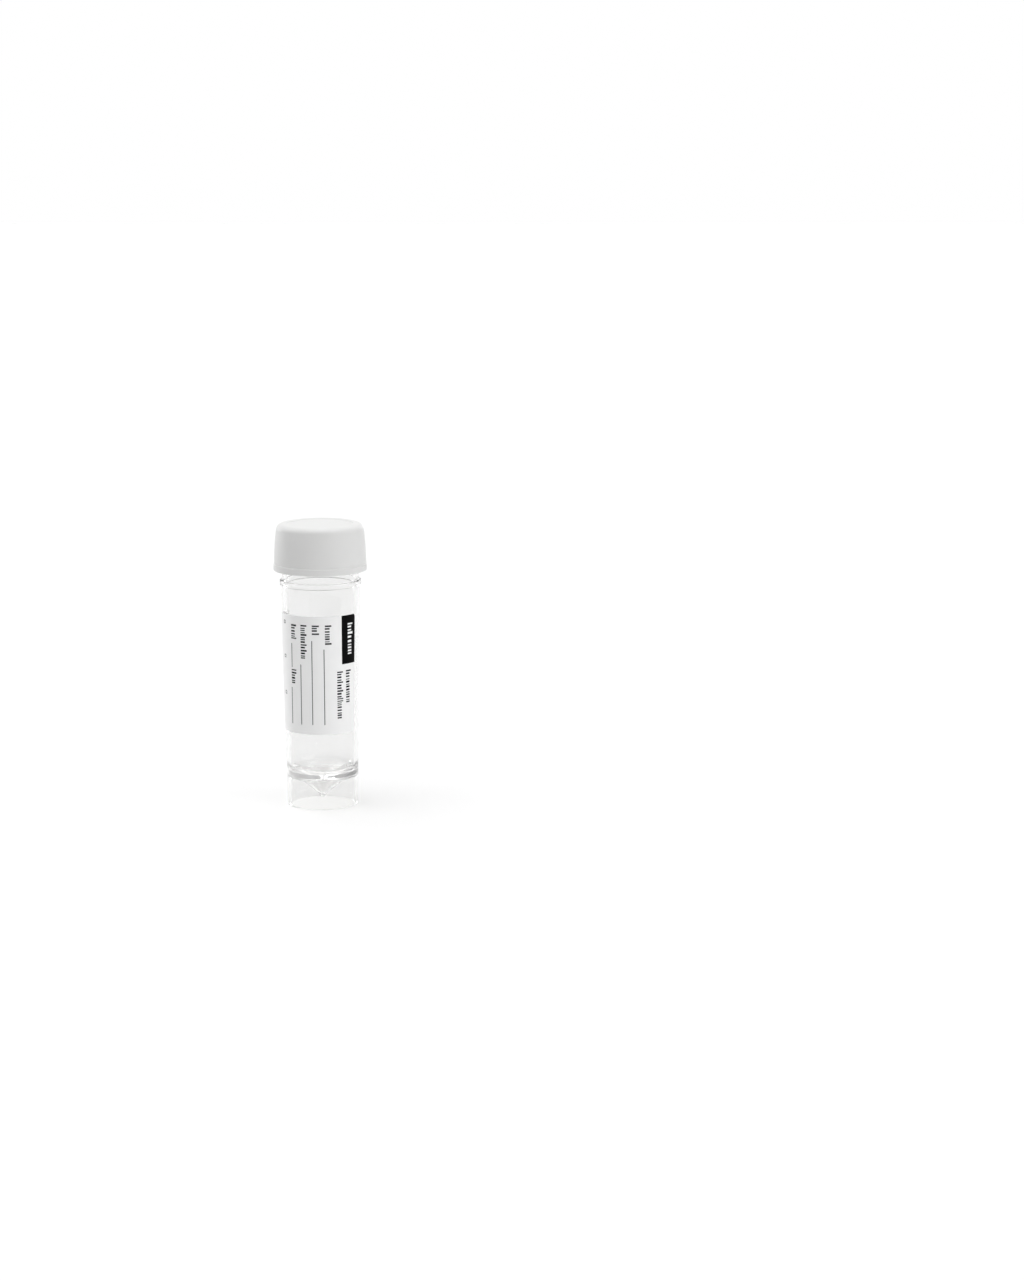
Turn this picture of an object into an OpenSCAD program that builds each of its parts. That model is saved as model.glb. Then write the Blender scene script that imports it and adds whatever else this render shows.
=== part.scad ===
// Specimen container: a clear skirted tube with a conical bottom, a white screw cap
// with its sealing disc, and a paper label wrapped round the body.
// Millimetres, +Z up, origin at the centre of the base ring, label's front towards -Y.

/* [Tube heights] */
// Height of the mouth above the base ring
rim_z = 90.6; // [60:0.1:130]
// Height of the neck, from the ledge to the mouth
neck_h = 15.9; // [12:0.1:24]
// Thickness of the ledge
ledge_t = 1.7; // [1:0.1:3]
// Height at which the conical floor meets the wall
floor_z = 12.6; // [8:0.1:25]
// Height of the cone's point above the base ring, inside
tip_z = 3.9; // [3:0.1:8]

/* [Tube widths] */
// Outside diameter of the body at the base ring
base_d = 23.1; // [18:0.1:32]
// Outside diameter of the body just under the ledge
shoulder_d = 25.7; // [20:0.1:34]
// How far the ledge stands out from the body
ledge_out = 0.4; // [0.2:0.05:1.5]
// How far the neck steps in from the body
neck_step = 0.35; // [0.1:0.05:1.5]

/* [Tube walls] */
// Wall of the neck
neck_wall = 1.1; // [0.8:0.05:1.8]
// Wall of the body at the floor
floor_wall = 1.35; // [0.8:0.05:2.2]
// Wall of the conical floor
cone_wall = 1.2; // [0.8:0.05:2]
// Wall of the skirt at the base ring
skirt_wall = 1.1; // [0.8:0.05:2]
// How much the skirt's inside narrows towards the cone
skirt_draft = 0.15; // [0.05:0.05:0.5]
// Radius of the round tip inside the cone
tip_r = 1.3; // [0.5:0.1:4]
// Rounding where the wall turns into the conical floor
corner_r = 4; // [1:0.5:6]
// Height cut flat off the cone's point underneath
tip_flat = 0.6; // [0.2:0.1:1.2]
// Diameter of the moulding gate's stub on that flat
gate_d = 2.2; // [1:0.1:4]
// Length of the moulding gate's stub
gate_h = 0.5; // [0.2:0.1:1]
// Rounding of the mouth's edges
lip_r = 0.3; // [0.1:0.05:0.4]
// Rounding of the base ring's edges
foot_r = 0.3; // [0.1:0.05:0.5]
// Rounding of the ledge's edges
ledge_r = 0.25; // [0.1:0.05:0.5]

/* [Thread] */
// Rise of the thread in one turn
thread_lead = 4; // [2:0.5:6]
// Height of the neck's thread above the neck
thread_h = 0.8; // [0.4:0.05:1.2]
// Width of the thread's flat crest
thread_crest = 0.7; // [0.4:0.1:1.2]
// Slope of the thread's flanks from the crest
thread_flank = 30; // [15:1:45]
// Play between the two threads, and from each crest to the other wall
thread_play = 0.15; // [0.1:0.01:0.3]
// Turns of the thread on the neck
neck_turns = 1.5; // [0.5:0.1:2]
// Turns of the thread in the cap
cap_turns = 1.1; // [0.5:0.1:1.5]
// Depth of the neck thread's upper end below the mouth
thread_drop = 3.2; // [2:0.1:6]
// Angle at which both threads begin
thread_start = 200; // [0:5:355]

/* [Cap] */
// Height of the cap's lower edge above the ledge
cap_gap = 3.1; // [0.5:0.1:5]
// How much wider the cap is inside at its lower edge than at its seat
cap_draft = 0.5; // [0.1:0.05:1]
// Wall of the cap at its lower edge
cap_wall = 1.25; // [0.8:0.05:2.5]
// Radius of the long curve of the cap's side
cap_curve = 86; // [60:1:300]
// Radius of the rounded top edge
cap_edge_r = 2.2; // [0.5:0.1:4]
// Thickness of the cap's top under its recess
cap_top_t = 1.2; // [0.8:0.1:2.5]
// Depth of the recess in the cap's top
recess_h = 0.3; // [0.1:0.05:0.6]
// Width of the flat land round the recess
recess_land = 1.3; // [0.5:0.1:4]
// Height of the proud band at the lower edge
band_h = 2.3; // [1:0.1:5]
// How far the band stands out from the side
band_out = 0.22; // [0.1:0.02:0.6]
// Lead-in chamfer inside the lower edge
lead_in = 0.5; // [0.2:0.1:1]
// Chamfer outside the lower edge
cap_chamfer = 0.2; // [0.1:0.05:0.5]

/* [Sealing disc] */
// Thickness of the sealing disc
disc_t = 0.9; // [0.5:0.1:2]
// Gap between the sealing disc's edge and its seat
disc_gap = 0.3; // [0.1:0.05:0.6]
// Room round the neck in the disc's seat
seat_room = 0.65; // [0.3:0.05:0.9]
// Depth of the disc's seat below the mouth
seat_h = 1.5; // [0.5:0.1:3]

/* [Label] */
// Height of the bare wall between the ledge and the label
label_drop = 8.7; // [2:0.1:30]
// Height of the label
label_h = 39; // [10:0.1:45]
// Thickness of the label
label_t = 0.12; // [0.08:0.01:0.3]
// Gap between the label and the wall
label_gap = 0.02; // [0.01:0.01:0.1]
// Angle of the label's right edge from the front
label_right = 62; // [0:1:90]
// Angle that the label wraps round the body
label_wrap = 165; // [60:1:340]

/* [Hidden] */
$fn = 96;
sink = 0.3;
ridge_steps = 40;
clear = [0.86, 0.9, 0.92, 0.35];
white = [0.92, 0.92, 0.9];
foam = [0.95, 0.95, 0.93];
paper = [0.9, 0.9, 0.89];

// Radii of the tube, from the body outwards and inwards.
ledge_z = rim_z - neck_h;
ledge_low = ledge_z - ledge_t;
ledge_rad = shoulder_d / 2 + ledge_out;
neck_rad = shoulder_d / 2 - neck_step;
mouth_rad = neck_rad - neck_wall;
floor_rad = body_r(floor_z) - floor_wall;
skirt_rad = base_d / 2 - skirt_wall;
skirt_top = skirt_rad - skirt_draft;

// Radii and heights of the cap, built out from the neck that it screws on.
cap_z = ledge_z + cap_gap;
disc_z = rim_z + disc_t;
cap_top = disc_z + cap_top_t + recess_h;
seat_rad = neck_rad + seat_room;
bore_rad = neck_rad + thread_h + thread_play;
cap_mouth = bore_rad + cap_draft;
cap_rad = cap_mouth + cap_wall;
side_low = cap_z + band_h;
side_top = cap_top - cap_edge_r;
recess_rad = cap_r(side_top) - cap_edge_r - recess_land;

// Heights at which the two threads begin: the cap's bears up on the neck's from below.
flank_run = tan(thread_flank);
neck_thread_z = rim_z - thread_drop - thread_lead * neck_turns;
cap_thread_z = neck_thread_z - thread_crest - (thread_h - thread_play) * flank_run - thread_play;

// The floor's cone: its rise over its run, its angle above the level, and the bore's draft.
cone_slope = (floor_z - tip_z) / floor_rad;
cone_a = atan(cone_slope);
bore_a = atan((mouth_rad - floor_rad) / (rim_z - lip_r - floor_z));

// Points of an arc in the profile plane, from angle a0 to a1.
function arc(c, r, a0, a1, n = 4) =
    [for (i = [0 : n]) let (a = a0 + (a1 - a0) * i / n) [c[0] + r * cos(a), c[1] + r * sin(a)]];

// Outside radius of the drafted body at a height.
function body_r(z) = (base_d + (shoulder_d - base_d) * z / ledge_low) / 2;

// Outside radius of the cap above its band, where the side follows one long arc.
function cap_r(z) =
    let (up = z - side_low)
    cap_rad - band_out - (cap_curve - sqrt(cap_curve * cap_curve - up * up));

// Height of the cone's lower face at a radius: the floor moved down square to itself.
function cone_under(r) = tip_z + r * cone_slope - cone_wall / cos(cone_a);

// The tube's outside as a solid: base ring, drafted body, ledge, neck and lip.
module tube_outside() {
    rotate_extrude()
        polygon(concat(
            [[0, 0]],
            arc([base_d / 2 - foot_r, foot_r], foot_r, -90, 0),
            [[shoulder_d / 2, ledge_low]],
            arc([ledge_rad - ledge_r, ledge_low + ledge_r], ledge_r, -90, 0),
            arc([ledge_rad - ledge_r, ledge_z - ledge_r], ledge_r, 0, 90),
            [[neck_rad, ledge_z]],
            arc([neck_rad - lip_r, rim_z - lip_r], lip_r, 0, 90),
            [[0, rim_z]]
        ));
}

// The room for the specimen: drafted bore with a rounded lip, and a conical floor that
// the bore meets in a round corner.
module tube_cavity() {
    tip_c = tip_z + tip_r / cos(cone_a);
    back = corner_r / tan((90 + bore_a + cone_a) / 2);
    corner_c = [
        floor_rad + back * sin(bore_a) - corner_r * cos(bore_a),
        floor_z + back * cos(bore_a) + corner_r * sin(bore_a)
    ];
    rotate_extrude()
        polygon(concat(
            [[0, rim_z + 1], [mouth_rad + lip_r, rim_z + 1]],
            arc([mouth_rad + lip_r, rim_z - lip_r], lip_r, 90, 180),
            arc(corner_c, corner_r, -bore_a, cone_a - 90, 6),
            arc([0, tip_c], tip_r, cone_a - 90, -90)
        ));
}

// The room under the cone, inside the skirt and open at the base ring.
module tube_underside() {
    flat_z = cone_under(0) + tip_flat;
    rotate_extrude()
        polygon(concat(
            [[0, -1], [skirt_rad + foot_r, -1]],
            arc([skirt_rad + foot_r, foot_r], foot_r, -90, -180),
            [[skirt_top, cone_under(skirt_top)], [tip_flat / cone_slope, flat_z], [0, flat_z]]
        ));
}

// A thread: its section carried up a helix, rooted in a wall, with both ends run down.
module thread_ridge(wall, crest, z, turns) {
    n = round(turns * ridge_steps);
    out = crest > wall;
    root = out ? wall - sink : wall + sink;
    low = thread_crest / 2;
    wide = low + abs(crest - root) * flank_run;
    points = [
        for (i = [0 : n])
            let (turn = turns * i / n, a = thread_start + 360 * turn, up = z + thread_lead * turn,
                 c = wall + (crest - wall) * min(1, 0.4 + 0.2 * min(i, n - i)))
            for (q = [[root, -wide], [c, -low], [c, low], [root, wide]])
                [q[0] * cos(a), q[0] * sin(a), up + q[1]]
    ];
    sides = [
        for (i = [0 : n - 1], k = [0 : 3])
            let (a = 4 * i + k, b = 4 * i + (k + 1) % 4)
            each [[a, b, b + 4], [a, b + 4, a + 4]]
    ];
    ends = [[2, 1, 0], [3, 2, 0], [4 * n, 4 * n + 1, 4 * n + 2], [4 * n, 4 * n + 2, 4 * n + 3]];
    faces = concat(sides, ends);
    polyhedron(points, out ? faces : [for (f = faces) [f[2], f[1], f[0]]]);
}

// The stub that the moulding gate leaves under the cone's tip.
module gate_stub() {
    low = cone_under(0) + tip_flat - gate_h;
    high = cone_under(max(gate_d / 2, tip_flat / cone_slope)) + sink;
    translate([0, 0, low])
        cylinder(h = high - low, d = gate_d);
}

// One clear moulding: base ring, skirt, conical floor, body, ledge and threaded neck.
module tube() {
    color(clear)
        union() {
            difference() {
                tube_outside();
                tube_cavity();
                tube_underside();
            }
            gate_stub();
            thread_ridge(neck_rad, neck_rad + thread_h, neck_thread_z, neck_turns);
        }
}

// The cap's outside as a solid: chamfer, proud band, long curved side, rounded top edge.
module cap_outside() {
    rotate_extrude()
        polygon(concat(
            [[0, cap_z], [cap_rad - cap_chamfer, cap_z], [cap_rad, cap_z + cap_chamfer],
             [cap_rad, side_low - band_out]],
            [for (i = [0 : 5]) let (z = side_low + (side_top - side_low) * i / 6) [cap_r(z), z]],
            arc([cap_r(side_top) - cap_edge_r, side_top], cap_edge_r, 0, 90, 6),
            [[0, cap_top]]
        ));
}

// The room inside the cap: lead-in, drafted wall over the threads, seat for the disc.
module cap_inside() {
    seat_low = rim_z - seat_h;
    rotate_extrude()
        polygon([
            [0, cap_z - 1], [cap_mouth + lead_in, cap_z - 1], [cap_mouth + lead_in, cap_z],
            [cap_mouth, cap_z + lead_in], [bore_rad, seat_low - (bore_rad - seat_rad)],
            [seat_rad, seat_low], [seat_rad, disc_z], [0, disc_z]
        ]);
}

// The shallow recess in the cap's top, with sloping edges.
module cap_recess() {
    translate([0, 0, cap_top - recess_h])
        cylinder(h = 2 * recess_h, r1 = recess_rad - recess_h, r2 = recess_rad + recess_h);
}

// One white moulding, hollow over the neck, with its thread inside.
module cap() {
    color(white)
        union() {
            difference() {
                cap_outside();
                cap_inside();
                cap_recess();
            }
            thread_ridge(cap_mouth, neck_rad + thread_play, cap_thread_z, cap_turns);
        }
}

// The soft disc that the cap presses on the mouth.
module cap_liner() {
    color(foam)
        translate([0, 0, rim_z])
            cylinder(h = disc_t, r = seat_rad - disc_gap);
}

// The paper label, wrapped on the drafted body.
module label() {
    label_top = ledge_low - label_drop;
    label_z = label_top - label_h;
    low = body_r(label_z) + label_gap;
    high = body_r(label_top) + label_gap;
    color(paper)
        rotate([0, 0, label_right - 90 - label_wrap])
            rotate_extrude(angle = label_wrap)
                polygon([
                    [low, label_z], [low + label_t, label_z],
                    [high + label_t, label_top], [high, label_top]
                ]);
}

tube();
cap();
cap_liner();
label();
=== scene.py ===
"""Dresses the specimen container: a clear tube with a screw neck, its white cap and
sealing disc, and a paper label with plain generic print.

Lengths are in millimetres, +Z up, origin at the centre of the base ring and the label's
front towards -Y, as in the CAD model. They become metres when a mesh is made.
"""
import math

import bpy
import numpy as np
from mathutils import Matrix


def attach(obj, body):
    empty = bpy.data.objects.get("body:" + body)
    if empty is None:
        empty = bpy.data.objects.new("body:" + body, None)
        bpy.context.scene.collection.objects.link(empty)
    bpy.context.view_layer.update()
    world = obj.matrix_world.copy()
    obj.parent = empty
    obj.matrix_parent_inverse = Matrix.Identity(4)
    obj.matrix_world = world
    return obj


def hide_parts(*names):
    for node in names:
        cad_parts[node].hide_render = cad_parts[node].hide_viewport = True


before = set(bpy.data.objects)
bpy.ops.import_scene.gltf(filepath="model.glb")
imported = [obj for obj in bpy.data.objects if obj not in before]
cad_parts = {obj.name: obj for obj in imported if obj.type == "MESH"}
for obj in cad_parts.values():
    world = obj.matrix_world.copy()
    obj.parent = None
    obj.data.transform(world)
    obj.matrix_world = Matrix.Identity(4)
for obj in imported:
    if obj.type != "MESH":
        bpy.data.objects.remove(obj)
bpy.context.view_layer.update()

MM = 0.001

# Tube: heights, outside radii, walls, and the cone's tip with its stub.
RIM_Z, NECK_H, LEDGE_T, FLOOR_Z, TIP_Z = 90.6, 15.9, 1.7, 12.6, 3.9
BASE_R, SHOULDER_R, LEDGE_OUT, NECK_STEP = 11.55, 12.85, 0.4, 0.35
NECK_WALL, FLOOR_WALL, CONE_WALL, SKIRT_WALL, SKIRT_DRAFT = 1.1, 1.35, 1.2, 1.1, 0.15
TIP_R, TIP_FLAT, GATE_R, GATE_H = 1.3, 0.6, 1.1, 0.5

# Roundings of the tube's outer edges, and of the corners where two faces meet.
LIP_R, FOOT_R, LEDGE_R, LEDGE_LOW_R, STUB_R = 0.3, 0.3, 0.25, 0.2, 0.15
FLOOR_FILLET, CONE_FILLET, STUB_FILLET, SHOULDER_FILLET, NECK_FILLET = 4.0, 0.8, 0.2, 0.15, 0.3

# Thread. Both ends run down over a share of a turn. The softness, in square millimetres,
# rounds the crest's edges and the roots.
THREAD_LEAD, THREAD_H, THREAD_CREST, THREAD_FLANK, THREAD_PLAY = 4.0, 0.8, 0.7, 30.0, 0.15
NECK_TURNS, CAP_TURNS, THREAD_DROP, THREAD_START = 1.5, 1.1, 3.2, 200.0
THREAD_RUN_DOWN, THREAD_SOFT = 0.07, 0.006

# Cap, its edges' roundings and its inner corners' fillets.
CAP_GAP, CAP_DRAFT, CAP_WALL, CAP_CURVE, CAP_EDGE_R = 3.1, 0.5, 1.25, 86.0, 2.2
CAP_TOP_T, RECESS_H, RECESS_LAND, BAND_H, BAND_OUT, LEAD_IN = 1.2, 0.3, 1.3, 2.3, 0.22, 0.5
CAP_FOOT_R, LEAD_R, BAND_R, BAND_FILLET, RECESS_R = 0.3, 0.2, 0.1, 0.05, 0.45
SEAT_FILLET, BORE_FILLET = 0.25, 0.3

# Sealing disc. The mouth's mark in it starts a little outside the neck's wall and has its
# full depth a little inside.
DISC_T, DISC_GAP, SEAT_ROOM, SEAT_H, DISC_LOW_R, DISC_TOP_R = 0.9, 0.3, 0.65, 1.5, 0.12, 0.2
MARK_DEPTH, MARK_OUT, MARK_IN, MARK_R, MARK_FILLET, MARK_EDGE = 0.07, 0.1, 0.15, 0.2, 0.3, 0.05

# Label, and the print's lift off the paper and its thickness.
LABEL_DROP, LABEL_H, LABEL_T, LABEL_GAP, LABEL_CORNER = 8.7, 39.0, 0.12, 0.02, 1.0
LABEL_RIGHT, LABEL_WRAP = math.radians(62), math.radians(165)
INK_LIFT, INK_T = 0.003, 0.012

# Steps round the pieces and along their arcs. The cap's side has its first even row a
# little above the band.
ROUND_STEPS, DISC_STEPS, TIP_STEPS, EDGE_STEPS, SIDE_ROWS, SIDE_FROM = 256, 160, 6, 12, 9, 1.0

# Columns and rows of the label's patches. The even rows keep clear of its upper and lower
# edges, and edges of a patch that bend more than the sharp angle, in degrees, are crisp.
WRAP_COLUMNS, PANEL_COLUMNS, WORD_COLUMNS, THIN_COLUMNS = 165, 24, 4, 2
CORNER_ROWS, PLAIN_ROWS, PLAIN_FROM, SHARP_ANGLE = 7, 11, 4, 35

# Row spacings along an outline. Rows are fine over the thread's height and some room on
# both sides, on stretches that rise more than the least rise.
LONG_ROW, THREAD_ROW, GUARD_ROW, FINE_RISE = 3.0, 0.1, 0.15, 2.0
NECK_THREAD_ROOM, CAP_THREAD_ROOM = 1.1, 1.25

# Where a thread may stand out: how near its wall a row lies, how far it keeps from the
# edges of the cap's bore, and the bare neck above the ledge and under the mouth.
ON_WALL, EDGE_CLEAR, BARE_LOW, BARE_TOP = 0.02, 0.05, 1.0, 0.5

LEDGE_Z = RIM_Z - NECK_H
LEDGE_LOW = LEDGE_Z - LEDGE_T
LEDGE_RAD = SHOULDER_R + LEDGE_OUT
NECK_R = SHOULDER_R - NECK_STEP
MOUTH_R = NECK_R - NECK_WALL
CAP_Z = LEDGE_Z + CAP_GAP
DISC_Z = RIM_Z + DISC_T
CAP_TOP = DISC_Z + CAP_TOP_T + RECESS_H
SEAT_R = NECK_R + SEAT_ROOM
BORE_R = NECK_R + THREAD_H + THREAD_PLAY
CAP_MOUTH = BORE_R + CAP_DRAFT
CAP_R = CAP_MOUTH + CAP_WALL
SIDE_LOW = CAP_Z + BAND_H
FLANK_RUN = math.tan(math.radians(THREAD_FLANK))
NECK_THREAD_Z = RIM_Z - THREAD_DROP - THREAD_LEAD * NECK_TURNS
CAP_THREAD_Z = NECK_THREAD_Z - THREAD_CREST - (THREAD_H - THREAD_PLAY) * FLANK_RUN - THREAD_PLAY
LABEL_TOP = LEDGE_LOW - LABEL_DROP
LABEL_LOW = LABEL_TOP - LABEL_H


def body_r(z):
    """Outside radius of the drafted body: it grows in a straight line from base to ledge."""
    return BASE_R + (SHOULDER_R - BASE_R) * z / LEDGE_LOW


def arc(centre_r, centre_z, radius, start, end, steps):
    """Points of a circle's arc in the outline's plane, angles in radians from outwards."""
    angle = np.linspace(start, end, steps + 1)
    return np.column_stack((centre_r + radius * np.cos(angle), centre_z + radius * np.sin(angle)))


def rounded(corners):
    """Outline through corners (radius, height, rounding). A corner with a rounding turns
    into the arc that touches both of its sides: the arc's centre lies on the corner's
    bisector, rounding / sin(half the corner's angle) from the corner, and the arc starts
    rounding / tan(half the corner's angle) before it, with a step each 15 degrees."""
    points = []
    for before, here, after in zip([None] + corners[:-1], corners, corners[1:] + [None]):
        spot = np.array(here[:2])
        if len(here) < 3:
            points.append(spot)
            continue
        back = np.array(before[:2]) - spot
        ahead = np.array(after[:2]) - spot
        back /= np.hypot(*back)
        ahead /= np.hypot(*ahead)
        half = math.acos(np.clip(back @ ahead, -1, 1)) / 2
        centre = spot + (back + ahead) / np.hypot(*(back + ahead)) * here[2] / math.sin(half)
        first = spot + back * here[2] / math.tan(half) - centre
        turn = math.pi - 2 * half
        side = math.copysign(1, back[0] * ahead[1] - back[1] * ahead[0])
        steps = max(3, math.ceil(turn / math.radians(15)))
        start = math.atan2(first[1], first[0])
        points.extend(arc(*centre, here[2], start, start - side * turn, steps))
    return np.array(points)


def rows_along(points, fine=None):
    """Adds rows to an outline: guard rows beside each bend, so that flats shade flat, rows
    every few millimetres between them, and closely spaced rows inside the fine heights."""
    rows = [points[0]]
    for a, b in zip(points[:-1], points[1:]):
        length = np.hypot(*(b - a))
        if length > 4 * GUARD_ROW:
            count = max(1, math.ceil((length - 2 * GUARD_ROW) / LONG_ROW))
            along = np.linspace(GUARD_ROW, length - GUARD_ROW, count + 1)
            low, high = min(a[1], b[1]), max(a[1], b[1])
            if fine and high - low > FINE_RISE and low < fine[1] and high > fine[0]:
                cut = (np.array(fine) - a[1]) * length / (b[1] - a[1])
                first, last = np.clip(np.sort(cut), GUARD_ROW, length - GUARD_ROW)
                along = along[(along < first) | (along > last)]
                near = np.linspace(first, last, math.ceil((last - first) / THREAD_ROW) + 1)
                along = np.sort(np.concatenate((along, near)))
            rows.extend(a + (b - a) * (along / length)[:, None])
        rows.append(b)
    return np.array(rows)


def thread_span(start_z, turns, room):
    """Lowest and highest fine row of a thread: room below its start and above its end."""
    return start_z - room, start_z + THREAD_LEAD * turns + room


def thread_height(angle, z, reach, start_z, turns):
    """How far a thread stands out of its wall at an angle and a height. Its middle climbs
    one lead a turn. Its section is flat for the crest's width and then falls along both
    flanks, by the distance past the crest over the flank's run. Half of a value plus the
    root of its square and the softness stands for the value above zero, and so rounds the
    crest's edges and the roots. Both ends run down along 3 s^2 - 2 s^3."""
    part = np.mod(angle / (2 * math.pi) - THREAD_START / 360, 1)
    coil = np.clip(np.round((z - start_z) / THREAD_LEAD - part), 0, math.floor(turns))
    turn = part + coil
    aside = np.abs(z - start_z - THREAD_LEAD * turn) - THREAD_CREST / 2
    ends = np.clip(np.minimum(turn, turns - turn) / THREAD_RUN_DOWN, 0, 1)
    ends = ends * ends * (3 - 2 * ends)
    fall = (aside + np.sqrt(aside ** 2 + THREAD_SOFT)) / 2 / FLANK_RUN
    depth = reach * ends - fall
    return ends * (depth + np.sqrt(depth ** 2 + THREAD_SOFT)) / 2


def make_mesh(name, vertices, faces, sharp=None):
    """A smooth-shaded object at the origin from points in millimetres. Edges that bend
    more than the sharp angle, in degrees, stay crisp."""
    mesh = bpy.data.meshes.new(name)
    mesh.from_pydata((np.asarray(vertices) * MM).tolist(), [], faces)
    mesh.polygons.foreach_set("use_smooth", np.ones(len(mesh.polygons), dtype=bool))
    if sharp is not None:
        mesh.set_sharp_from_angle(angle=math.radians(sharp))
    mesh.update()
    piece = bpy.data.objects.new(name, mesh)
    bpy.context.scene.collection.objects.link(piece)
    return piece


def lathe(name, rows, stand_out=None, steps=ROUND_STEPS):
    """Surface of revolution: point (i, j) is row i of the outline turned by j steps, with
    stand_out(angle, radius, height) added to its radius, so that x is the radius times the
    angle's cosine and y the radius times its sine. The outline starts and ends on the
    axis, where one point and a fan of triangles close the surface."""
    angle = np.arange(steps) * 2 * math.pi / steps
    inner = rows[1:-1]
    radius, height, around = inner[:, :1], inner[:, 1:], angle[None, :]
    if stand_out:
        radius = radius + stand_out(around, radius, height)
    x, y = radius * np.cos(around), radius * np.sin(around)
    grid = np.stack((x, y, np.broadcast_to(height, x.shape)), axis=-1).reshape(-1, 3)
    vertices = np.vstack(([0, 0, rows[0][1]], grid, [0, 0, rows[-1][1]]))
    step = np.arange(steps)
    turned = (step + 1) % steps
    row = 1 + np.arange(len(inner) - 1)[:, None] * steps
    quads = np.stack((row + step, row + turned, row + steps + turned, row + steps + step), axis=-1)
    top = 1 + (len(inner) - 1) * steps
    last = len(vertices) - 1
    start_fan = np.stack((np.zeros_like(step), 1 + turned, 1 + step), axis=-1)
    end_fan = np.stack((np.full_like(step, last), top + step, top + turned), axis=-1)
    faces = quads.reshape(-1, 4).tolist() + start_fan.tolist() + end_fan.tolist()
    return make_mesh(name, vertices, faces)


def make_tube():
    """The clear moulding, one outline from the gate stub's centre out along the cone's
    underside, down the skirt, round the base ring, up the body and the ledge, over the
    mouth, down the bore and along the conical floor to its rounded tip."""
    floor_r = body_r(FLOOR_Z) - FLOOR_WALL
    skirt_r = BASE_R - SKIRT_WALL
    skirt_top = skirt_r - SKIRT_DRAFT
    slope = (FLOOR_Z - TIP_Z) / floor_r
    lean = math.atan(slope)

    def under(r):
        """Height of the cone's lower face: the floor moved down square to itself."""
        return TIP_Z + r * slope - CONE_WALL / math.cos(lean)

    stub_z = under(0) + TIP_FLAT - GATE_H
    corners = [
        (0, stub_z), (GATE_R, stub_z, STUB_R), (GATE_R, under(GATE_R), STUB_FILLET),
        (skirt_top, under(skirt_top), CONE_FILLET), (skirt_r, 0, FOOT_R), (BASE_R, 0, FOOT_R),
        (SHOULDER_R, LEDGE_LOW, SHOULDER_FILLET), (LEDGE_RAD, LEDGE_LOW, LEDGE_LOW_R),
        (LEDGE_RAD, LEDGE_Z, LEDGE_R), (NECK_R, LEDGE_Z, NECK_FILLET),
        (NECK_R, RIM_Z, LIP_R), (MOUTH_R, RIM_Z, LIP_R),
        (floor_r, FLOOR_Z, FLOOR_FILLET), (0, TIP_Z),
    ]
    points = rounded(corners)[:-1]
    tip_c = TIP_Z + TIP_R / math.cos(lean)
    tip = arc(0, tip_c, TIP_R, lean - math.pi / 2, -math.pi / 2, TIP_STEPS)
    tip[-1, 0] = 0
    fine = thread_span(NECK_THREAD_Z, NECK_TURNS, NECK_THREAD_ROOM)

    def stand_out(angle, radius, height):
        """The thread on the neck's wall, between the bare parts at ledge and mouth."""
        on_neck = np.abs(radius - NECK_R) < ON_WALL
        on_neck = on_neck & (height > LEDGE_Z + BARE_LOW) & (height < RIM_Z - BARE_TOP)
        return on_neck * thread_height(angle, height, THREAD_H, NECK_THREAD_Z, NECK_TURNS)

    return lathe("clear_tube", rows_along(np.vstack((points, tip)), fine), stand_out)


def cap_r(z):
    """Outside radius of the cap above its band: one long arc that leans in upwards, by its
    radius less the root of its radius squared minus the height above the band squared."""
    return CAP_R - BAND_OUT - (CAP_CURVE - np.sqrt(CAP_CURVE ** 2 - (z - SIDE_LOW) ** 2))


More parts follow.
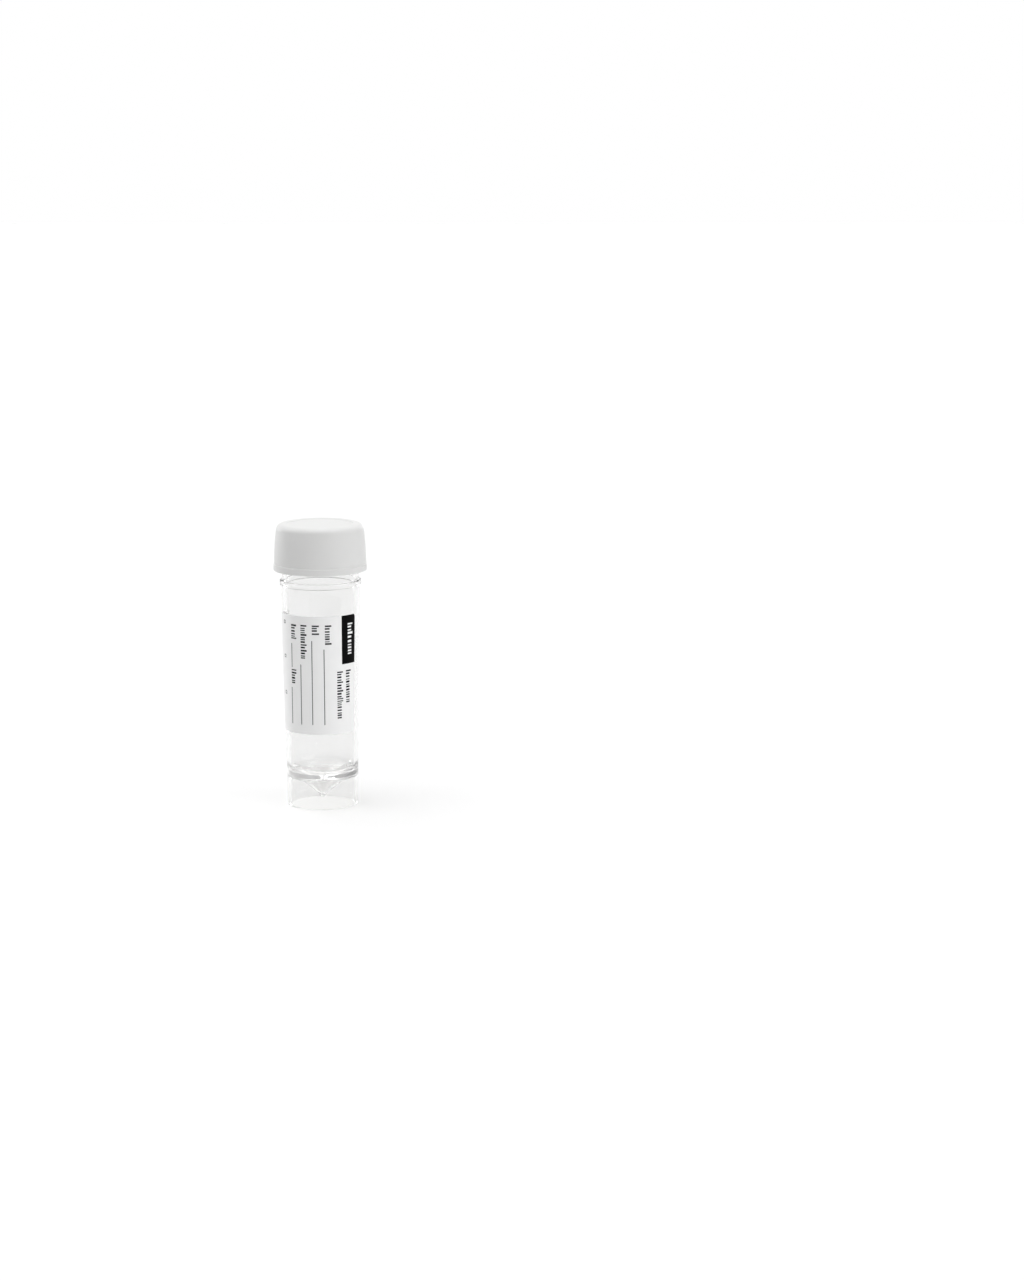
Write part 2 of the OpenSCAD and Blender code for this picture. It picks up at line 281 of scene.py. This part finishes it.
def make_cap():
    """The white moulding, one outline from the middle of its ceiling out to the seat, down
    the threaded bore, round the lower edge and its band, up the long curved side, over
    the rounded top edge and down into the shallow recess."""
    # The side's arc and the top edge's arc touch where both lean alike. Each round sets
    # the height of that join from the lean at the one before, and four rounds settle it.
    side_top = CAP_TOP - CAP_EDGE_R
    for _ in range(4):
        lean = math.asin((side_top - SIDE_LOW) / CAP_CURVE)
        side_top = CAP_TOP - CAP_EDGE_R * (1 - math.sin(lean))
    edge_r = cap_r(side_top) - CAP_EDGE_R * math.cos(lean)
    recess_r = cap_r(CAP_TOP - CAP_EDGE_R) - CAP_EDGE_R - RECESS_LAND
    recess_z = CAP_TOP - RECESS_H
    seat_low = RIM_Z - SEAT_H
    side_from = SIDE_LOW + SIDE_FROM
    inside = [
        (0, DISC_Z), (SEAT_R, DISC_Z, SEAT_FILLET), (SEAT_R, seat_low, BORE_FILLET),
        (BORE_R, seat_low - (BORE_R - SEAT_R), BORE_FILLET),
        (CAP_MOUTH, CAP_Z + LEAD_IN, BORE_FILLET), (CAP_MOUTH + LEAD_IN, CAP_Z, LEAD_R),
        (CAP_R, CAP_Z, CAP_FOOT_R), (CAP_R, SIDE_LOW - BAND_OUT, BAND_R),
        (cap_r(SIDE_LOW), SIDE_LOW, BAND_FILLET), (cap_r(side_from), side_from),
    ]
    heights = np.linspace(side_from, side_top, SIDE_ROWS)[1:]
    side = np.column_stack((cap_r(heights), heights))
    edge = arc(edge_r, CAP_TOP - CAP_EDGE_R, CAP_EDGE_R, lean, math.pi / 2, EDGE_STEPS)[1:]
    recess = [(edge_r, CAP_TOP), (recess_r, CAP_TOP, RECESS_R),
              (recess_r - RECESS_H, recess_z, RECESS_R), (0, recess_z)]
    points = np.vstack((rounded(inside), side, edge, rounded(recess)[1:]))
    fine = thread_span(CAP_THREAD_Z, CAP_TURNS, CAP_THREAD_ROOM)
    crest = NECK_R + THREAD_PLAY

    def stand_out(angle, radius, height):
        """The thread in the drafted bore, inwards as far as its crest's radius."""
        in_bore = (radius > BORE_R - EDGE_CLEAR) & (radius < CAP_MOUTH + ON_WALL)
        in_bore = in_bore & (height > CAP_Z + LEAD_IN + EDGE_CLEAR)
        ridge = thread_height(angle, height, radius - crest, CAP_THREAD_Z, CAP_TURNS)
        return -1.0 * in_bore * ridge

    return lathe("screw_cap_shell", rows_along(points, fine), stand_out)


def make_disc():
    """The sealing disc: a thin round pad with rounded edges and, underneath, the shallow
    ring that the mouth has pressed into it."""
    disc_r = SEAT_R - DISC_GAP
    mark_z = RIM_Z + MARK_DEPTH
    corners = [
        (0, RIM_Z), (MOUTH_R - MARK_OUT, RIM_Z, MARK_FILLET), (MOUTH_R + MARK_IN, mark_z, MARK_R),
        (NECK_R - MARK_IN, mark_z, MARK_R), (NECK_R + MARK_OUT, RIM_Z, MARK_EDGE),
        (disc_r, RIM_Z, DISC_LOW_R), (disc_r, DISC_Z, DISC_TOP_R), (0, DISC_Z),
    ]
    return lathe("sealing_pad", rows_along(rounded(corners)), steps=DISC_STEPS)


def wrapped_patches(name, heights, left, right, lift, thickness, columns):
    """Closed thin patches on the label's cone. Point (i, j) of a patch is at heights[i]
    and at left[i] + (right[i] - left[i]) * j / columns, an angle from the front towards
    +X, so x is the radius times its sine and -y the radius times its cosine. Its two faces
    stand lift and lift + thickness off the label's gap, and its border faces join them.
    Each array has one line for each patch."""
    count, rows = heights.shape
    wide = columns + 1
    share = np.linspace(0, 1, wide)
    angle = left[..., None] + (right - left)[..., None] * share
    z = np.broadcast_to(heights[..., None], angle.shape)
    sheets = []
    for off in (lift, lift + thickness):
        radius = body_r(z) + LABEL_GAP + off
        sheets.append(np.stack((radius * np.sin(angle), -radius * np.cos(angle), z), axis=-1))
    vertices = np.stack(sheets, axis=1).reshape(-1, 3)
    i, j = np.meshgrid(np.arange(rows - 1), np.arange(columns), indexing="ij")
    low = (i * wide + j).reshape(-1)
    top = rows * wide
    face = np.stack((low, low + 1, low + 1 + wide, low + wide), axis=-1)
    i, j = np.arange(rows - 1) * wide, np.arange(columns)
    last = (rows - 1) * wide
    end = i + columns
    borders = [
        np.stack((top + j + 1, top + j, j, j + 1), axis=-1),
        np.stack((top + last + j, top + last + j + 1, last + j + 1, last + j), axis=-1),
        np.stack((top + i, top + i + wide, i + wide, i), axis=-1),
        np.stack((top + end + wide, top + end, end, end + wide), axis=-1),
    ]
    one = np.vstack([face + top, face[:, ::-1]] + borders)
    faces = (one[None] + (np.arange(count) * 2 * top)[:, None, None]).reshape(-1, 4)
    return make_mesh(name, vertices, faces.tolist(), SHARP_ANGLE)


def label_inset(z):
    """How far the label's sides draw in at a height, in millimetres. Each corner is a
    quarter circle: its radius less the root of its radius squared minus the way into the
    corner squared."""
    into = np.clip(LABEL_CORNER - np.minimum(z - LABEL_LOW, LABEL_TOP - z), 0, LABEL_CORNER)
    return LABEL_CORNER - np.sqrt(LABEL_CORNER ** 2 - into ** 2)


def label_rows(low, high):
    """Heights of a label patch's rows between two heights: close together in the rounded
    corners, where they follow a quarter circle's cosine, and evenly spaced between."""
    corner = LABEL_CORNER * (1 - np.cos(np.linspace(0, math.pi / 2, CORNER_ROWS)))
    plain = np.linspace(LABEL_LOW + PLAIN_FROM, LABEL_TOP - PLAIN_FROM, PLAIN_ROWS)
    rows = np.concatenate((LABEL_LOW + corner, plain, LABEL_TOP - corner[::-1]))
    return np.concatenate(([low], rows[(rows > low) & (rows < high)], [high]))[None]


def make_label():
    """The paper label: one patch that wraps from its right edge back past the left."""
    z = label_rows(LABEL_LOW, LABEL_TOP)
    inset = label_inset(z) / body_r(z)
    left = LABEL_RIGHT - LABEL_WRAP + inset
    right = LABEL_RIGHT - inset
    return wrapped_patches("paper_wrap", z, left, right, 0, LABEL_T, WRAP_COLUMNS)


def printed(name, boxes, columns=WORD_COLUMNS, lift=LABEL_T + INK_LIFT):
    """Flat printing on the label: boxes of (from, to, low, high), the first two in
    millimetres along the label from its front, which over the body's radius are angles,
    the others heights."""
    start, end, low, high = np.array(boxes, dtype=float).T[:, :, None]
    z = np.hstack((low, high))
    return wrapped_patches(name, z, start / body_r(z), end / body_r(z), lift, INK_T, columns)


def make_panel(start, low):
    """The black panel in the label's upper right corner, printed out to the cut edges."""
    z = label_rows(low, LABEL_TOP)
    left = start / body_r(z)
    right = LABEL_RIGHT - label_inset(z) / body_r(z)
    return wrapped_patches("ink_panel", z, left, right, LABEL_T + INK_LIFT, INK_T, PANEL_COLUMNS)


# Strokes that stand for letters: their shares of a row, each stroke's width as a part of
# its share, the chance that one is tall, and the others' height as a part of a tall one's.
STROKE_SHARES, STROKE_WIDTHS, TALL_CHANCE, SHORT_PART = (0.7, 1.3), (0.45, 0.62), 0.2, 0.72
draw = np.random.default_rng(7)


def word(base, tall, high, low, pitch):
    """Boxes that stand for a printed word: upright strokes down the row from high to low,
    each as wide as about half of its share, the first and a few others reaching further
    from the base line."""
    count = max(3, round((high - low) / pitch))
    share = draw.uniform(*STROKE_SHARES, count)
    edges = high - (high - low) * np.concatenate(([0], np.cumsum(share))) / share.sum()
    boxes = []
    for k, (top, bottom) in enumerate(zip(edges[:-1], edges[1:])):
        rise = tall if k == 0 or draw.random() < TALL_CHANCE else tall * SHORT_PART
        wide = (top - bottom) * draw.uniform(*STROKE_WIDTHS)
        boxes.append((base, base + rise, top - wide, top))
    return boxes


def group_socket(group, name, way, kind="NodeSocketFloat", value=None):
    """Adds one named input or output to a shader group."""
    socket = group.interface.new_socket(name=name, in_out=way, socket_type=kind)
    if value is not None:
        socket.default_value = value


def node(tree, kind, links=None, **settings):
    """Adds a node and sets its properties. Each socket in links, by name or number, takes
    an output that feeds it or a plain value."""
    made = tree.nodes.new(kind)
    for key, value in settings.items():
        setattr(made, key, value)
    for socket, source in (links or {}).items():
        if hasattr(source, "is_output"):
            tree.links.new(source, made.inputs[socket])
        else:
            made.inputs[socket].default_value = source
    return made


def ranged(tree, value, given, wanted):
    """A value carried in a straight line from one range to another, and held at its ends."""
    ends = {1: given[0], 2: given[1], 3: wanted[0], 4: wanted[1]}
    return node(tree, "ShaderNodeMapRange", {0: value, **ends}).outputs[0]


def mixed(tree, share, first, second):
    """The number that lies the given share of the way from the first to the second."""
    return node(tree, "ShaderNodeMix", {0: share, 2: first, 3: second}).outputs[0]


def make_surface_group():
    """Moulded or pressed surface. Height is fine grain and broad unevenness mixed by the
    grain's share, Tone is the broad part alone, and both wander about 0.5. Scales are in
    features per metre."""
    group = bpy.data.node_groups.new("surface_grain", "ShaderNodeTree")
    group_socket(group, "Grain Scale", "INPUT", value=6000)
    group_socket(group, "Broad Scale", "INPUT", value=120)
    group_socket(group, "Grain Share", "INPUT", value=0.5)
    group_socket(group, "Stretch", "INPUT", "NodeSocketVector", (1, 1, 1))
    group_socket(group, "Height", "OUTPUT")
    group_socket(group, "Tone", "OUTPUT")
    given = group.nodes.new("NodeGroupInput").outputs
    where = node(group, "ShaderNodeTexCoord").outputs["Object"]
    stretch = {0: where, 1: given["Stretch"]}
    spread = node(group, "ShaderNodeVectorMath", stretch, operation="MULTIPLY").outputs[0]
    fine = node(group, "ShaderNodeTexNoise",
                {"Vector": spread, "Scale": given["Grain Scale"], "Detail": 3.0})
    broad = node(group, "ShaderNodeTexNoise",
                 {"Vector": where, "Scale": given["Broad Scale"], "Detail": 2.0})
    height = mixed(group, given["Grain Share"], broad.outputs[0], fine.outputs[0])
    out = group.nodes.new("NodeGroupOutput")
    group.links.new(height, out.inputs["Height"])
    group.links.new(broad.outputs[0], out.inputs["Tone"])
    return group


grain = make_surface_group()
HEIGHT_SPAN = (0.3, 0.7)  # most of the heights lie between these


def make_material(name, colours, roughness, grain_values, bump, settings):
    """A Principled finish. The surface group's tone moves the colour between the two given
    ones. Its height moves the roughness between its two values, and feeds the bump, which
    is given as its strength and its depth in metres."""
    material = bpy.data.materials.new(name)
    material.use_nodes = True
    tree = material.node_tree
    shader = tree.nodes["Principled BSDF"]
    skin = node(tree, "ShaderNodeGroup", grain_values, node_tree=grain)
    tone, height = skin.outputs["Tone"], skin.outputs["Height"]
    shades = {0: tone, 6: (*colours[0], 1), 7: (*colours[1], 1)}
    tint = node(tree, "ShaderNodeMix", shades, data_type="RGBA")
    tree.links.new(tint.outputs[2], shader.inputs["Base Color"])
    tree.links.new(ranged(tree, height, HEIGHT_SPAN, roughness), shader.inputs["Roughness"])
    strength, depth = bump
    relief = node(tree, "ShaderNodeBump",
                  {"Height": height, "Strength": strength, "Distance": depth})
    tree.links.new(relief.outputs[0], shader.inputs["Normal"])
    for socket, value in settings.items():
        shader.inputs[socket].default_value = value
    return material


def let_lamps_through(material, tint):
    """Clear plastic casts only a faint shadow: for a lamp's rays it is tinted air."""
    tree = material.node_tree
    shader = tree.nodes["Principled BSDF"]
    rays = node(tree, "ShaderNodeLightPath").outputs
    air = node(tree, "ShaderNodeBsdfTransparent", {"Color": (*tint, 1)})
    both = node(tree, "ShaderNodeMixShader",
                {0: rays["Is Shadow Ray"], 1: shader.outputs[0], 2: air.outputs[0]})
    tree.links.new(both.outputs[0], tree.nodes["Material Output"].inputs["Surface"])


clear_plastic = make_material(
    "clear_polystyrene", ((0.9, 0.9, 0.897), (0.91, 0.91, 0.908)), (0.015, 0.045),
    {"Grain Scale": 900, "Broad Scale": 90, "Grain Share": 0.15, "Stretch": (1, 1, 0.2)},
    (0.25, 0.00006), {"IOR": 1.59, "Transmission Weight": 1.0})
let_lamps_through(clear_plastic, (0.825, 0.825, 0.82))
white_plastic = make_material(
    "white_polypropylene", ((0.715, 0.715, 0.71), (0.745, 0.745, 0.74)), (0.45, 0.58),
    {"Grain Scale": 5200, "Broad Scale": 150, "Grain Share": 0.6},
    (0.3, 0.00004), {"IOR": 1.49, "Specular IOR Level": 0.2})
foam = make_material(
    "white_foam", ((0.78, 0.78, 0.76), (0.86, 0.86, 0.84)), (0.75, 0.95),
    {"Grain Scale": 3600, "Broad Scale": 900, "Grain Share": 0.7},
    (0.6, 0.00012), {"IOR": 1.45})
paper = make_material(
    "coated_paper", ((0.89, 0.89, 0.892), (0.92, 0.92, 0.92)), (0.42, 0.6),
    {"Grain Scale": 3000, "Broad Scale": 260, "Grain Share": 0.55, "Stretch": (1, 1, 0.35)},
    (0.22, 0.00003), {"IOR": 1.5})

# The inks lie on the paper's grain, and differ in tone and gloss.
INK_GRAIN = {"Grain Scale": 3000, "Broad Scale": 400, "Grain Share": 0.5}
INK_BUMP = (0.15, 0.00002)
black_ink = make_material(
    "black_ink", ((0.0012, 0.0012, 0.0014), (0.0035, 0.0035, 0.004)), (0.3, 0.45),
    INK_GRAIN, INK_BUMP, {"IOR": 1.5, "Specular IOR Level": 0.03})
grey_ink = make_material(
    "dark_grey_ink", ((0.012, 0.012, 0.013), (0.022, 0.022, 0.023)), (0.4, 0.55),
    INK_GRAIN, INK_BUMP, {"IOR": 1.5, "Specular IOR Level": 0.05})
line_ink = make_material(
    "rule_line_ink", ((0.09, 0.09, 0.095), (0.13, 0.13, 0.135)), (0.4, 0.55),
    INK_GRAIN, INK_BUMP, {"IOR": 1.5, "Specular IOR Level": 0.05})
floor_paint = make_material(
    "pale_floor", ((0.865, 0.865, 0.865), (0.88, 0.88, 0.88)), (0.85, 0.95),
    {"Grain Scale": 800, "Broad Scale": 12, "Grain Share": 0.4},
    (0.05, 0.00005), {"IOR": 1.3})


def place(piece, material, body, slot, *stands_for):
    """Finishes a piece, rides it on its body and hides the parts that it stands for. The slot is
    not used.
    """
    piece.data.materials.append(material)
    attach(piece, body)
    if stands_for:
        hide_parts(*stands_for)


# The panel's left edge, along the label from its front, and its lower edge's height.
PANEL_FROM, PANEL_LOW = 7.7, 48.3
# Field rows: where the word's base line is, its height, its top and bottom, and the rule
# line's place and its two ends.
FIELDS = [
    (2.0, 2.1, 61.5, 54.7, 1.5, 53.6, 28.6),
    (-2.2, 2.3, 61.5, 57.9, -2.4, 56.4, 28.6),
    (-6.1, 2.1, 61.5, 50.0, -6.3, 48.4, 28.5),
    (-10.0, 2.2, 61.4, 56.4, -10.0, 55.1, 47.1),
    (-10.1, 2.1, 46.5, 41.5, -10.2, 40.5, 28.4),
]
# Rows without a line, the last of them on the panel, where the strokes are wider spaced.
TITLE_ROWS = [(9.2, 2.1, 46.2, 35.0), (5.9, 2.1, 46.0, 30.1)]
PANEL_ROW, PANEL_WIDER = (10.1, 2.2, 61.6, 51.0), 1.3
# Tick boxes: where their row starts, their side, their line's width and their tops.
BOX_ROW, BOX_SIDE, BOX_LINE, BOX_TOPS = -14.4, 1.1, 0.2, (62.2, 50.9, 38.8)
LINE_WIDTH, STROKE_PITCH = 0.27, 0.85

words = [box for row in FIELDS for box in word(*row[:4], STROKE_PITCH)]
words += [box for row in TITLE_ROWS for box in word(*row, STROKE_PITCH)]
panel_words = word(*PANEL_ROW, STROKE_PITCH * PANEL_WIDER)
lines = [(at, at + LINE_WIDTH, low, high) for *_, at, high, low in FIELDS]
marks = []
for top in BOX_TOPS:
    near, far, low = BOX_ROW, BOX_ROW + BOX_SIDE, top - BOX_SIDE
    marks += [(near, far, top - BOX_LINE, top), (near, far, low, low + BOX_LINE),
              (near, near + BOX_LINE, low + BOX_LINE, top - BOX_LINE),
              (far - BOX_LINE, far, low + BOX_LINE, top - BOX_LINE)]

place(make_tube(), clear_plastic, "container", "clear_body", "tube")
place(make_label(), paper, "container", "paper_label", "label")
place(make_panel(PANEL_FROM, PANEL_LOW), black_ink, "container", "paper_label")
on_panel = LABEL_T + 2 * INK_LIFT + INK_T
place(printed("panel_words", panel_words, lift=on_panel), paper, "container", "paper_label")
place(printed("ink_words", words), grey_ink, "container", "paper_label")
place(printed("ink_rule_lines", lines, THIN_COLUMNS), line_ink, "container", "paper_label")
place(printed("ink_tick_boxes", marks, THIN_COLUMNS), grey_ink, "container", "paper_label")
place(make_disc(), foam, "sealing_disc", "foam_disc", "cap_liner")
place(make_cap(), white_plastic, "screw_cap", "white_cap", "cap")

# Floor, a little under the base ring so that no two faces share a plane.
FLOOR_HALF, FLOOR_DROP = 4000, 0.05
corners = [(x * FLOOR_HALF, y * FLOOR_HALF, -FLOOR_DROP)
           for x, y in ((-1, -1), (1, -1), (1, 1), (-1, 1))]
floor = make_mesh("floor", corners, [(0, 1, 2, 3)])
floor.data.materials.append(floor_paint)


def add_sun(name, strength, spread, toward):
    """A soft lamp far off: its light comes from the direction toward, over the spread in
    degrees. It tilts from straight up by the direction's angle, then turns to face it."""
    lamp = bpy.data.lights.new(name, "SUN")
    lamp.energy = strength
    lamp.angle = math.radians(spread)
    holder = bpy.data.objects.new(name, lamp)
    bpy.context.scene.collection.objects.link(holder)
    x, y, z = toward
    holder.rotation_euler = (math.atan2(math.hypot(x, y), z), 0, math.atan2(x, -y))


add_sun("overhead_softbox", 3.32, 80, (-0.18, 0.05, 0.98))
add_sun("right_fill", 1.75, 60, (0.9, -0.42, 0.12))
add_sun("left_rim", 0.8, 14, (-0.73, 0.67, 0.12))
add_sun("back_fill", 0.4, 14, (0.35, 0.93, 0.07))

# Room: white to the camera, and in what shines or shows through it is darker on the
# camera's side and to the left, as a studio is. Rough surfaces get their light from the
# lamps and the floor, and next to none from the room. Shades are given with their places
# from front to back, the outermost two first. The darkening and the glow each run between
# two sideways aims.
ROOM_SHADES = [(0.2, 0.23), (0.97, 1.0), (0.6, 0.58), (0.88, 0.6)]
DARKER_AIMS, DARKER = (-1.0, 0.1), (-0.35, 0.0)
GLOW_AIMS, GLOW = (-0.7, 0.7), (0.003, 0.022)
world = bpy.data.worlds.new("studio_room")
bpy.context.scene.world = world
world.use_nodes = True
tree = world.node_tree
background = tree.nodes["Background"]
background.inputs["Color"].default_value = (1, 1, 1, 1)
rays = node(tree, "ShaderNodeLightPath").outputs
way = node(tree, "ShaderNodeTexCoord").outputs["Generated"]
aim = node(tree, "ShaderNodeSeparateXYZ", {0: way}).outputs
shades = node(tree, "ShaderNodeValToRGB", {0: ranged(tree, aim["Y"], (-1.0, 1.0), (0.0, 1.0))})
ramp = shades.color_ramp.elements
for k, (at, shade) in enumerate(ROOM_SHADES):
    stop = ramp[k] if k < 2 else ramp.new(at)
    stop.position = at
    stop.color = (shade, shade, shade, 1)
darker = ranged(tree, aim["X"], DARKER_AIMS, DARKER)
room = node(tree, "ShaderNodeMath", {0: shades.outputs[0], 1: darker}, operation="ADD").outputs[0]
lit = mixed(tree, rays["Is Diffuse Ray"], room, ranged(tree, aim["X"], GLOW_AIMS, GLOW))
shown = mixed(tree, rays["Is Camera Ray"], lit, 1.0)
tree.links.new(shown, background.inputs["Strength"])

# Camera at the photograph's viewing angle: 3000 pixels of focal length on 1280 of height.
# Its place is in metres.
CAMERA_AT, PITCH_DOWN = (0.0623, -0.963, 0.2348), 10.61
SENSOR, LENS_SHARE = 36, 3000 / 1280
lens = bpy.data.cameras.new("camera")
lens.sensor_fit = "AUTO"
lens.sensor_width = SENSOR
lens.lens = SENSOR * LENS_SHARE
camera = bpy.data.objects.new("camera", lens)
bpy.context.scene.collection.objects.link(camera)
camera.location = CAMERA_AT
camera.rotation_euler = (math.radians(90 - PITCH_DOWN), 0, 0)
bpy.context.scene.camera = camera
bpy.context.scene.view_settings.view_transform = "Standard"

# Light that the clear walls pipe along needs many bounces to find its way out.
BOUNCES = 80
bpy.context.scene.cycles.max_bounces = BOUNCES
bpy.context.scene.cycles.transmission_bounces = BOUNCES
bpy.context.scene.cycles.glossy_bounces = BOUNCES
